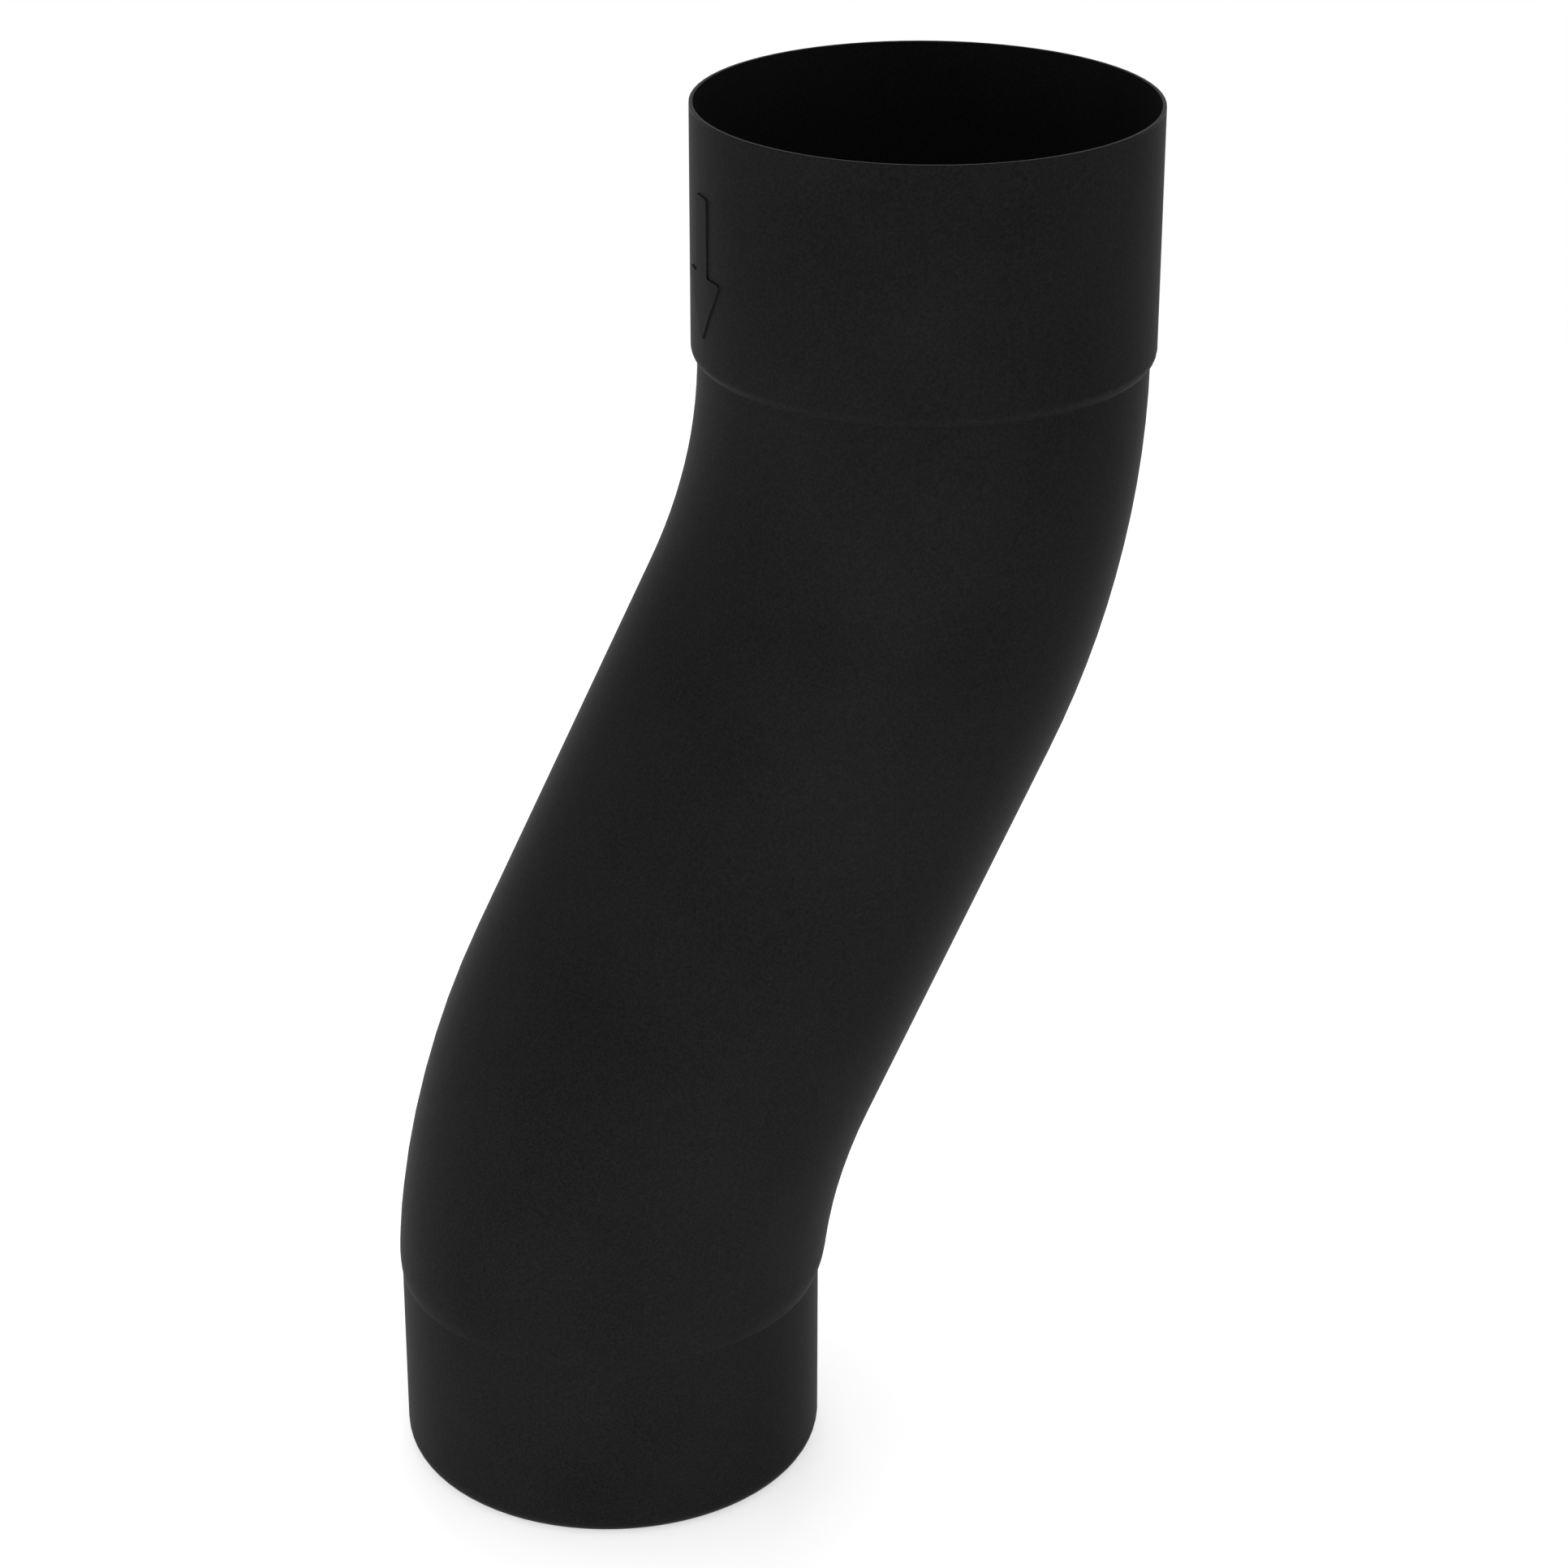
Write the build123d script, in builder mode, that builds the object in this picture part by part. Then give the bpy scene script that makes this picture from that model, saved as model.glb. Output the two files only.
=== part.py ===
from build123d import *
import os
from math import acos, asin, cos, degrees, radians, sin

# Downpipe plinth bend: one piece of coated sheet steel for an 80 mm round downpipe.
# The origin lies on the spigot's axis at the foot of its shoulder, where the pipe below ends.
# +Z is up. Both bends lie in the XZ plane, and the socket's axis stands at +X from the spigot's.

# Driving dimensions, in mm and degrees
pipe_diameter = 80.0         # outside of the downpipe, and of the bend's body
sheet_thickness = 0.7
bend_offset = 61.0           # sideways distance between the two upright axes
bend_radius = 122.0          # of the centreline, the same in both bends
bend_angle = 26.9            # turned by each bend
bend_lead = 6.4              # the lower bend starts this far below the spigot's shoulder
spigot_length = 36.4         # from the lower end up to the shoulder
spigot_clearance = 0.07      # on the radius, inside the bore of the pipe below
curl_radius = 4.0            # outside, where the spigot's lower end turns in
curl_angle = 60.0
lower_shoulder_height = 10.4 # over which the spigot widens into the leaning body
lower_shoulder_fullness = 5.7
socket_clearance = 0.46      # on the radius, around the pipe that stands in the socket
socket_length = 45.6         # from the foot of the upper shoulder to the rim
upper_foot_radius = 0.2      # outside, in the crease where the shoulder leaves the body
upper_shoulder_radius = 2.5  # outside, where the shoulder turns up into the socket
rim_rounding = 0.15
arrow_drop = 13.0            # from the rim down to the raised flow arrow
arrow_length = 26.0
arrow_width = 15.0
arrow_head_length = 12.0
arrow_stem_width = 5.0
arrow_corner_radius = 0.6
arrow_height = 0.3           # how far the arrow stands out of the socket

# Radii of the outside skin
body_radius = pipe_diameter / 2
spigot_radius = body_radius - sheet_thickness - spigot_clearance
socket_radius = body_radius + socket_clearance + sheet_thickness

# The centreline rises through the lower bend, a straight slope and the upper bend
slope_length = (bend_offset - 2 * bend_radius * (1 - cos(radians(bend_angle)))) / sin(radians(bend_angle))
bends_rise = 2 * bend_radius * sin(radians(bend_angle))
socket_foot_z = bends_rise + slope_length * cos(radians(bend_angle)) - bend_lead
rim_z = socket_foot_z + socket_length


def bend_lean(z):
    """Degrees by which the lower bend's centreline leans towards +X at height z."""
    return degrees(asin((z + bend_lead) / bend_radius))


def bend_shift(z):
    """How far the lower bend's centreline has moved towards +X at height z."""
    return bend_radius * (1 - cos(radians(bend_lean(z))))


def cross_plane(x, z, lean):
    """Plane across the pipe, centred at (x, 0, z) and leaning towards +X."""
    tilt = radians(lean)
    return Plane(origin=(x, 0, z), x_dir=(cos(tilt), 0, -sin(tilt)), z_dir=(sin(tilt), 0, cos(tilt)))


def shoulder_form(inset):
    """The lower shoulder's solid form, moved in from its outside skin by inset.

    Its rings widen in a convex curve, and shift and lean into the lower bend as they rise.
    """
    with BuildPart() as form:
        for share in (0, 0.08, 0.18, 0.35, 0.6, 1):
            widening = 1 - (1 - share) ** lower_shoulder_fullness
            z = share * lower_shoulder_height
            lean = share * bend_lean(z)
            with BuildSketch(cross_plane(widening * bend_shift(z), z, lean)):
                Circle(spigot_radius + widening * (body_radius - spigot_radius) - inset)
        loft()
    return form.part


# Spigot: a straight tube whose lower end turns in to slip into the pipe below
with BuildPart() as spigot:
    with BuildSketch(Plane.XZ):
        with BuildLine():
            straight_end_z = curl_radius * sin(radians(curl_angle)) - spigot_length
            straight = Line((spigot_radius, 0), (spigot_radius, straight_end_z))
            JernArc(straight @ 1, straight % 1, radius=curl_radius, arc_size=-curl_angle)
            offset(amount=sheet_thickness, side=Side.RIGHT)
        make_face()
    revolve(axis=Axis.Z)

# Body: the tube swept from the top of the lower shoulder to the foot of the socket
body_start = cross_plane(
    bend_shift(lower_shoulder_height), lower_shoulder_height, bend_lean(lower_shoulder_height)
)
with BuildPart() as body:
    with BuildLine(Plane.XZ) as centreline:
        lower_bend = JernArc(
            body_start.origin,
            body_start.z_dir,
            radius=bend_radius,
            arc_size=bend_lean(lower_shoulder_height) - bend_angle,
        )
        slope = Line(lower_bend @ 1, lower_bend @ 1 + (lower_bend % 1) * slope_length)
        JernArc(slope @ 1, slope % 1, radius=bend_radius, arc_size=bend_angle)
    with BuildSketch(body_start):
        Circle(body_radius)
        Circle(body_radius - sheet_thickness, mode=Mode.SUBTRACT)
    sweep(path=centreline.line)

# Socket: a crease, a convex shoulder and the widened tube up to the rim
socket_axis = Axis((bend_offset, 0, 0), (0, 0, 1))
shoulder_step = socket_radius - body_radius
shoulder_turn = degrees(acos(1 - shoulder_step / (upper_foot_radius + upper_shoulder_radius)))
with BuildPart() as socket:
    with BuildSketch(Plane.XZ.shift_origin((bend_offset, 0, socket_foot_z))):
        with BuildLine():
            crease = JernArc((body_radius, 0), (0, 1), radius=upper_foot_radius, arc_size=-shoulder_turn)
            turn = JernArc(crease @ 1, crease % 1, radius=upper_shoulder_radius, arc_size=shoulder_turn)
            Line(turn @ 1, (socket_radius, socket_length))
            offset(amount=sheet_thickness, side=Side.LEFT)
        make_face()
    revolve(axis=socket_axis)
    fillet(socket.edges().group_by(Axis.Z)[-1], radius=rim_rounding)

# Flow arrow: raised on the side of the socket that faces back over the spigot, pointing down
arrow_stem_length = arrow_length - arrow_head_length
with BuildPart() as flow_arrow:
    arrow_top = Plane(
        origin=(bend_offset, 0, rim_z - arrow_drop), x_dir=(0, -1, 0), z_dir=(-1, 0, 0)
    )
    with BuildSketch(arrow_top) as arrow_outline:
        Rectangle(arrow_stem_width, arrow_stem_length, align=(Align.CENTER, Align.MAX))
        with BuildLine():
            Polyline(
                (-arrow_width / 2, -arrow_stem_length),
                (arrow_width / 2, -arrow_stem_length),
                (0, -arrow_length),
                close=True,
            )
        make_face()
        fillet(arrow_outline.vertices(), radius=arrow_corner_radius)
    extrude(amount=2 * socket_radius)
    with BuildSketch(Plane.XY.offset(rim_z).shift_origin((bend_offset, 0, rim_z))):
        Circle(socket_radius + arrow_height)
        Circle(socket_radius - sheet_thickness / 2, mode=Mode.SUBTRACT)
    extrude(amount=-socket_length, mode=Mode.INTERSECT)

# The finished bend is one piece of sheet
with BuildPart() as plinth_bend:
    add(spigot.part)
    add(shoulder_form(0))
    add(shoulder_form(sheet_thickness), mode=Mode.SUBTRACT)
    add(body.part)
    add(socket.part)
    add(flow_arrow.part)
plinth_bend.part.label = "plinth_bend"

os.makedirs("parts", exist_ok=True)
export_step(plinth_bend.part, "parts/plinth_bend.step")
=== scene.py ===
import bpy
import bmesh
from math import cos, radians, sin
from mathutils import Matrix, Vector


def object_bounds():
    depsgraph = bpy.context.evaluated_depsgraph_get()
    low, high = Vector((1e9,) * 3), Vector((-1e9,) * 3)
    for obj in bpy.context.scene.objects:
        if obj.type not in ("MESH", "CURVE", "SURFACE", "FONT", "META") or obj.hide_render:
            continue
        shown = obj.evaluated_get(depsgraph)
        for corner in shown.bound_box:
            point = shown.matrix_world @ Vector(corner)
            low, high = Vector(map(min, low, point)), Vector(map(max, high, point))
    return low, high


# Downpipe plinth bend: a white studio and the satin black coating of the formed sheet.
# Metres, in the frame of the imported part: +Z up, origin at the foot of the spigot's shoulder.

# Studio
WHITE = (1.0, 1.0, 1.0, 1.0)
WORLD_LEVEL = 0.55                # what the plain white surroundings give as light
SHOWN_LEVEL = 1.0                 # and what they show
FLOOR_RADIUS = 6.0
FLOOR_SEGMENTS = 96
FLOOR_COLOUR = (0.88, 0.88, 0.88, 1.0)
FLOOR_LIFT = 0.52                 # shown on top of the lit floor, so that it looks white
CONTACT_REACH = (0.0369, 0.0374)  # from the spigot's axis, where the foot ends and the lift begins
SHADOW_REACH = (0.30, 0.75)       # where the lit floor, with its shadow, fades into plain white

# Camera: fitted to the photograph, with the sensor and the lens in mm
CAMERA_AIM = Vector((0.03421, -0.00169, 0.09330))
CAMERA_AZIMUTH = radians(-20.145)
CAMERA_ELEVATION = radians(24.355)
CAMERA_ROLL = radians(0.058)
CAMERA_DISTANCE = 0.75438
CAMERA_SENSOR = 36.0
CAMERA_LENS = 95.042

# Soft lamps: name, azimuth and elevation in degrees from the middle of the bend, distance, width
# and height in metres, and power in watts
SOFT_LAMPS = (
    ("low_front", -6.0, -12.0, 0.45, 0.15, 0.05, 1.22),
    ("low_left", -98.0, -12.0, 0.45, 0.40, 0.05, 0.93),
    ("low_rear_left", -150.0, -2.0, 0.90, 0.80, 0.16, 2.40),
    ("rear", 166.0, 12.0, 0.90, 0.60, 0.60, 3.20),
)

# Coating
COATING_DARK = (0.0058, 0.0058, 0.0058, 1.0)
COATING_LIGHT = (0.0141, 0.0141, 0.0141, 1.0)
COATING_ROUGHNESS = (0.49, 0.53)
COATING_GLOSS = 0.015             # specular level: a thin, matted powder coat
RUBBED_ROUGHNESS = 0.30           # of the rim and the turned-in foot, which are rubbed smoother
RUBBED_FOOT = 0.0030              # how far that goes up from the foot
RUBBED_RIM = 0.0006               # and down from the rim

# The coat's noises: cells per metre, detail and roughness
GRAIN = (2200.0, 2.0, 0.6)        # the fine powder grain
PEEL = (520.0, 2.0, 0.5)          # the soft ripple
CLOUD = (22.0, 3.0, 0.5)          # the slow drift in tone
NOISE_MIDDLE = (0.35, 0.65)       # where most of a noise lies
GRAIN_SHARE = (0.09, 0.61)        # of the light colour, from the grain
CLOUD_SHARE = (0.0, 0.3)          # and what the drift adds to it

# The coat's bumps: strength, and height in metres
PEEL_BUMP = (0.25, 0.00004)
GRAIN_BUMP = (0.35, 0.00003)


def direction(azimuth, elevation):
    """Unit vector from the bend towards a lamp or camera at this azimuth and elevation."""
    return Vector((sin(azimuth) * cos(elevation), -cos(azimuth) * cos(elevation), sin(elevation)))


def set_camera():
    """Puts the camera at the photograph's viewing angle, with its framing."""
    lens = bpy.data.cameras.new("studio_camera")
    lens.sensor_width = CAMERA_SENSOR
    lens.lens = CAMERA_LENS
    camera = bpy.data.objects.new("studio_camera", lens)
    back = direction(CAMERA_AZIMUTH, CAMERA_ELEVATION)
    right = Vector((cos(CAMERA_AZIMUTH), sin(CAMERA_AZIMUTH), 0.0))
    upright = Matrix((right, back.cross(right), back)).transposed()
    turn = upright @ Matrix.Rotation(CAMERA_ROLL, 3, "Z")
    place = Matrix.Translation(CAMERA_AIM + back * CAMERA_DISTANCE)
    camera.matrix_world = place @ turn.to_4x4()
    bpy.context.scene.collection.objects.link(camera)
    bpy.context.scene.camera = camera


def add_soft_lamps(target):
    """Soft lamps around the bend, each facing its middle."""
    for name, azimuth, elevation, distance, width, height, watts in SOFT_LAMPS:
        light = bpy.data.lights.new(name, "AREA")
        light.shape = "RECTANGLE"
        light.size = width
        light.size_y = height
        light.energy = watts
        lamp = bpy.data.objects.new(name, light)
        towards = direction(radians(azimuth), radians(elevation))
        lamp.location = target + towards * distance
        lamp.rotation_mode = "QUATERNION"
        lamp.rotation_quaternion = (-towards).to_track_quat("-Z", "Y")
        # The camera and the coat's gloss show only the white surroundings
        lamp.visible_camera = False
        lamp.visible_glossy = False
        bpy.context.scene.collection.objects.link(lamp)


def combined(nodes, links, operation, first, second):
    """Two values joined by a Math node."""
    node = nodes.new("ShaderNodeMath")
    node.operation = operation
    links.new(first, node.inputs[0])
    links.new(second, node.inputs[1])
    return node.outputs[0]


def mixed(nodes, links, share, first, second):
    """Mix of two shaders: the first at a share of 0, the second at 1."""
    node = nodes.new("ShaderNodeMixShader")
    for value, socket in zip((share, first, second), node.inputs):
        links.new(value, socket)
    return node.outputs[0]


def faded(nodes, links, value, start, end):
    """Map Range node that rises softly from 0 to 1 while the value goes from start to end."""
    node = nodes.new("ShaderNodeMapRange")
    node.interpolation_type = "SMOOTHSTEP"
    node.inputs["From Min"].default_value = start
    node.inputs["From Max"].default_value = end
    links.new(value, node.inputs["Value"])
    return node


def white_shader(nodes, kind, level):
    """Plain white background or emission of this strength."""
    node = nodes.new(kind)
    node.inputs["Color"].default_value = WHITE
    node.inputs["Strength"].default_value = level
    return node


def seen_directly(nodes, links):
    """1 for rays that show the surroundings: from the camera, in gloss and through glass."""
    path = nodes.new("ShaderNodeLightPath")
    camera, glossy, through = (
        path.outputs[name] for name in ("Is Camera Ray", "Is Glossy Ray", "Is Transmission Ray")
    )
    outside = combined(nodes, links, "MAXIMUM", camera, glossy)
    return combined(nodes, links, "MAXIMUM", outside, through)


def set_world():
    """Plain white surroundings, which light the bend at a plain level."""
    world = bpy.data.worlds.new("studio_world")
    world.use_nodes = True
    nodes, links = world.node_tree.nodes, world.node_tree.links
    nodes.clear()
    light = white_shader(nodes, "ShaderNodeBackground", WORLD_LEVEL).outputs[0]
    shown = white_shader(nodes, "ShaderNodeBackground", SHOWN_LEVEL).outputs[0]
    surface = mixed(nodes, links, seen_directly(nodes, links), light, shown)
    links.new(surface, nodes.new("ShaderNodeOutputWorld").inputs["Surface"])
    bpy.context.scene.world = world


def floor_material():
    """Pale floor that takes the bend's shadow and fades into the white surroundings."""
    material = bpy.data.materials.new("pale_floor")
    material.use_nodes = True
    nodes, links = material.node_tree.nodes, material.node_tree.links
    nodes.clear()
    place = nodes.new("ShaderNodeTexCoord")
    reach = nodes.new("ShaderNodeVectorMath")
    reach.operation = "LENGTH"
    links.new(place.outputs["Object"], reach.inputs[0])
    contact = faded(nodes, links, reach.outputs["Value"], *CONTACT_REACH)
    contact.inputs["To Max"].default_value = FLOOR_LIFT
    fade = faded(nodes, links, reach.outputs["Value"], *SHADOW_REACH)

    lit = nodes.new("ShaderNodeBsdfDiffuse")
    lit.inputs["Color"].default_value = FLOOR_COLOUR
    lift = nodes.new("ShaderNodeEmission")
    lift.inputs["Color"].default_value = WHITE
    links.new(contact.outputs["Result"], lift.inputs["Strength"])
    lifted = nodes.new("ShaderNodeAddShader")
    links.new(lit.outputs[0], lifted.inputs[0])
    links.new(lift.outputs[0], lifted.inputs[1])
    white = white_shader(nodes, "ShaderNodeEmission", SHOWN_LEVEL)
    shown = mixed(nodes, links, fade.outputs["Result"], lifted.outputs[0], white.outputs[0])
    surface = mixed(nodes, links, seen_directly(nodes, links), lit.outputs[0], shown)
    links.new(surface, nodes.new("ShaderNodeOutputMaterial").inputs["Surface"])
    return material


def add_floor(height):
    """A wide round floor at the height of the spigot's lower edge."""
    mesh = bpy.data.meshes.new("studio_floor")
    disc = bmesh.new()
    bmesh.ops.create_circle(disc, cap_ends=True, segments=FLOOR_SEGMENTS, radius=FLOOR_RADIUS)
    disc.to_mesh(mesh)
    disc.free()
    floor = bpy.data.objects.new("studio_floor", mesh)
    floor.location = (0.0, 0.0, height)
    floor.data.materials.append(floor_material())
    bpy.context.scene.collection.objects.link(floor)


def noise(nodes, links, place, scale, detail, roughness):
    """Noise over the sheet, from 0 to 1."""
    texture = nodes.new("ShaderNodeTexNoise")
    texture.inputs["Scale"].default_value = scale
    texture.inputs["Detail"].default_value = detail
    texture.inputs["Roughness"].default_value = roughness
    links.new(place, texture.inputs["Vector"])
    return texture.outputs["Fac"]


def spread(nodes, links, value, low, high):
    """Maps the middle of a noise onto low..high."""
    node = nodes.new("ShaderNodeMapRange")
    node.inputs["From Min"].default_value, node.inputs["From Max"].default_value = NOISE_MIDDLE
    node.inputs["To Min"].default_value = low
    node.inputs["To Max"].default_value = high
    links.new(value, node.inputs["Value"])
    return node.outputs["Result"]


def bump(nodes, links, height, strength, distance):
    """Bump node of this strength and height."""
    node = nodes.new("ShaderNodeBump")
    node.inputs["Strength"].default_value = strength
    node.inputs["Distance"].default_value = distance
    links.new(height, node.inputs["Height"])
    return node


def rubbed_edges(nodes, links, place, foot, rim):
    """Mask that is 1 at the turned-in foot and on the rim, and 0 between them."""
    split = nodes.new("ShaderNodeSeparateXYZ")
    links.new(place, split.inputs[0])
    height = split.outputs["Z"]
    at_foot = faded(nodes, links, height, foot + RUBBED_FOOT, foot).outputs["Result"]
    at_rim = faded(nodes, links, height, rim - RUBBED_RIM, rim).outputs["Result"]
    return combined(nodes, links, "ADD", at_foot, at_rim)


def coating_material(foot, rim):
    """Satin black coat: fine powder grain over a soft ripple, with a slow drift in tone."""
    material = bpy.data.materials.new("satin_black_coating")
    material.use_nodes = True
    nodes, links = material.node_tree.nodes, material.node_tree.links
    nodes.clear()
    coat = nodes.new("ShaderNodeBsdfPrincipled")
    coat.inputs["Specular IOR Level"].default_value = COATING_GLOSS
    place = nodes.new("ShaderNodeTexCoord").outputs["Object"]
    grain, peel, cloud = (noise(nodes, links, place, *kind) for kind in (GRAIN, PEEL, CLOUD))

    speckle = spread(nodes, links, grain, *GRAIN_SHARE)
    drift = spread(nodes, links, cloud, *CLOUD_SHARE)
    colour = nodes.new("ShaderNodeMix")
    colour.data_type = "RGBA"
    colour.inputs["A"].default_value = COATING_DARK
    colour.inputs["B"].default_value = COATING_LIGHT
    links.new(combined(nodes, links, "ADD", speckle, drift), colour.inputs["Factor"])
    links.new(colour.outputs["Result"], coat.inputs["Base Color"])

    sheen = nodes.new("ShaderNodeMix")
    sheen.inputs["B"].default_value = RUBBED_ROUGHNESS
    links.new(rubbed_edges(nodes, links, place, foot, rim), sheen.inputs["Factor"])
    links.new(spread(nodes, links, cloud, *COATING_ROUGHNESS), sheen.inputs["A"])
    links.new(sheen.outputs["Result"], coat.inputs["Roughness"])

    ripple = bump(nodes, links, peel, *PEEL_BUMP)
    powder = bump(nodes, links, grain, *GRAIN_BUMP)
    links.new(ripple.outputs["Normal"], powder.inputs["Normal"])
    links.new(powder.outputs["Normal"], coat.inputs["Normal"])
    links.new(coat.outputs[0], nodes.new("ShaderNodeOutputMaterial").inputs["Surface"])
    return material


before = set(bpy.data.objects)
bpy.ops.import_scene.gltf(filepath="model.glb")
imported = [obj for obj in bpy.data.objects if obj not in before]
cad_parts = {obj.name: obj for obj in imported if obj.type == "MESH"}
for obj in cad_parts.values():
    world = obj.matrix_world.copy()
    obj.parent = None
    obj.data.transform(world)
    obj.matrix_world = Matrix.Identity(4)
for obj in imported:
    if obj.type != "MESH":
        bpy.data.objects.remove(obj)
cad_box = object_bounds()
low, high = cad_box

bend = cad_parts["plinth_bend"]
bend.data.materials.clear()
bend.data.materials.append(coating_material(low.z, high.z))

add_floor(low.z)
add_soft_lamps((low + high) / 2)
set_world()
set_camera()
bpy.context.scene.view_settings.view_transform = "Standard"
